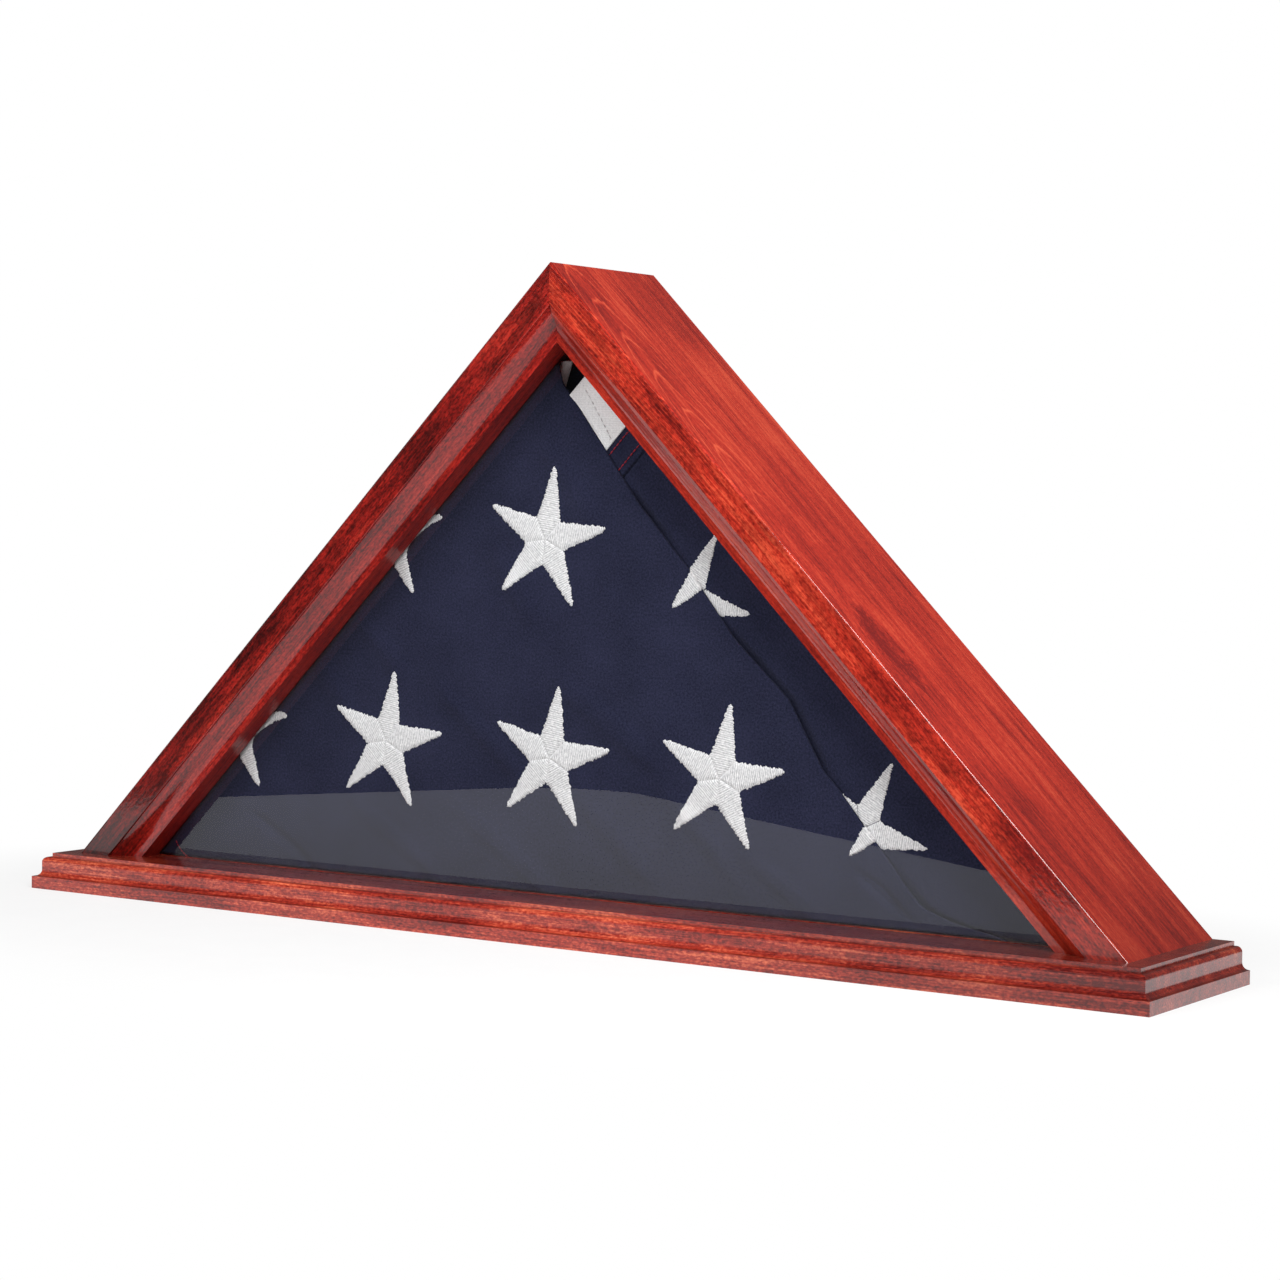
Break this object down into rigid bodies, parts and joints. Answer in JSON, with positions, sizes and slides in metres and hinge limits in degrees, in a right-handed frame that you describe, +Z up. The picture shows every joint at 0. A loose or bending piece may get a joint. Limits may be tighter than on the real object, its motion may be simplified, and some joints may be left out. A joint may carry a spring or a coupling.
{
  "type": "folded flag display case",
  "caption": "Triangular wooden display case with a glass front, a moulded plinth and a removable back, holding a folded cloth flag with embroidered stars.",
  "frame": {"origin": "centre of the plinth's underside, which the case stands on", "axes": "+Z up, +X along the plinth to the viewer's right, -Y out of the glazed front, +Y out of the back"},
  "size_m": [0.713, 0.1217, 0.3571],
  "materials": {
    "cherry_wood": "gloss",
    "plain_wood": "matte",
    "panel_board": "satin",
    "clear_glass": "gloss",
    "black_velvet": "matte",
    "navy_cloth": "matte",
    "white_cloth": "matte",
    "red_thread": "matte",
    "brass": "satin",
    "steel": "satin"
  },
  "bodies": {
    "root": {"base_plinth": "cherry_wood", "left_side_board": "cherry_wood", "right_side_board": "cherry_wood", "mitre_spline": "plain_wood", "left_front_moulding": "cherry_wood", "right_front_moulding": "cherry_wood", "glass_pane": "clear_glass", "left_glass_stop": "cherry_wood", "right_glass_stop": "cherry_wood", "moulding_brads": "steel", "stop_brads": "steel", "rear_cleat": "cherry_wood", "foot_screws": "steel", "cleat_screws": "steel", "turn_button_screws": "brass", "folded_flag": "navy_cloth", "flag_heading": "white_cloth"},
    "back_panel": {"back_panel": "panel_board", "back_lining": "black_velvet"},
    "turn_button_1": {"turn_button_1": "brass"},
    "turn_button_2": {"turn_button_2": "brass"},
    "turn_button_3": {"turn_button_3": "brass"},
    "turn_button_4": {"turn_button_4": "brass"},
    "turn_button_5": {"turn_button_5": "brass"},
    "turn_button_6": {"turn_button_6": "brass"}
  },
  "joints": [
    {"name": "back_panel_pull", "type": "slide", "parent": "root", "child": "back_panel", "axis": [0, 1, 0], "range_m": [0, 0.1]},
    {"name": "turn_button_1_swivel", "type": "hinge", "parent": "root", "child": "turn_button_1", "pos_m": [0.07428, 0.0592, 0.27582], "axis": [0, 1, 0], "continuous": true},
    {"name": "turn_button_2_swivel", "type": "hinge", "parent": "root", "child": "turn_button_2", "pos_m": [-0.07428, 0.0592, 0.27582], "axis": [0, -1, 0], "continuous": true},
    {"name": "turn_button_3_swivel", "type": "hinge", "parent": "root", "child": "turn_button_3", "pos_m": [0.25106, 0.0592, 0.09904], "axis": [0, 1, 0], "continuous": true},
    {"name": "turn_button_4_swivel", "type": "hinge", "parent": "root", "child": "turn_button_4", "pos_m": [-0.25106, 0.0592, 0.09904], "axis": [0, -1, 0], "continuous": true},
    {"name": "turn_button_5_swivel", "type": "hinge", "parent": "root", "child": "turn_button_5", "pos_m": [-0.165, 0.0592, 0.0125], "axis": [0, -1, 0], "continuous": true},
    {"name": "turn_button_6_swivel", "type": "hinge", "parent": "root", "child": "turn_button_6", "pos_m": [0.165, 0.0592, 0.0125], "axis": [0, 1, 0], "continuous": true}
  ]
}
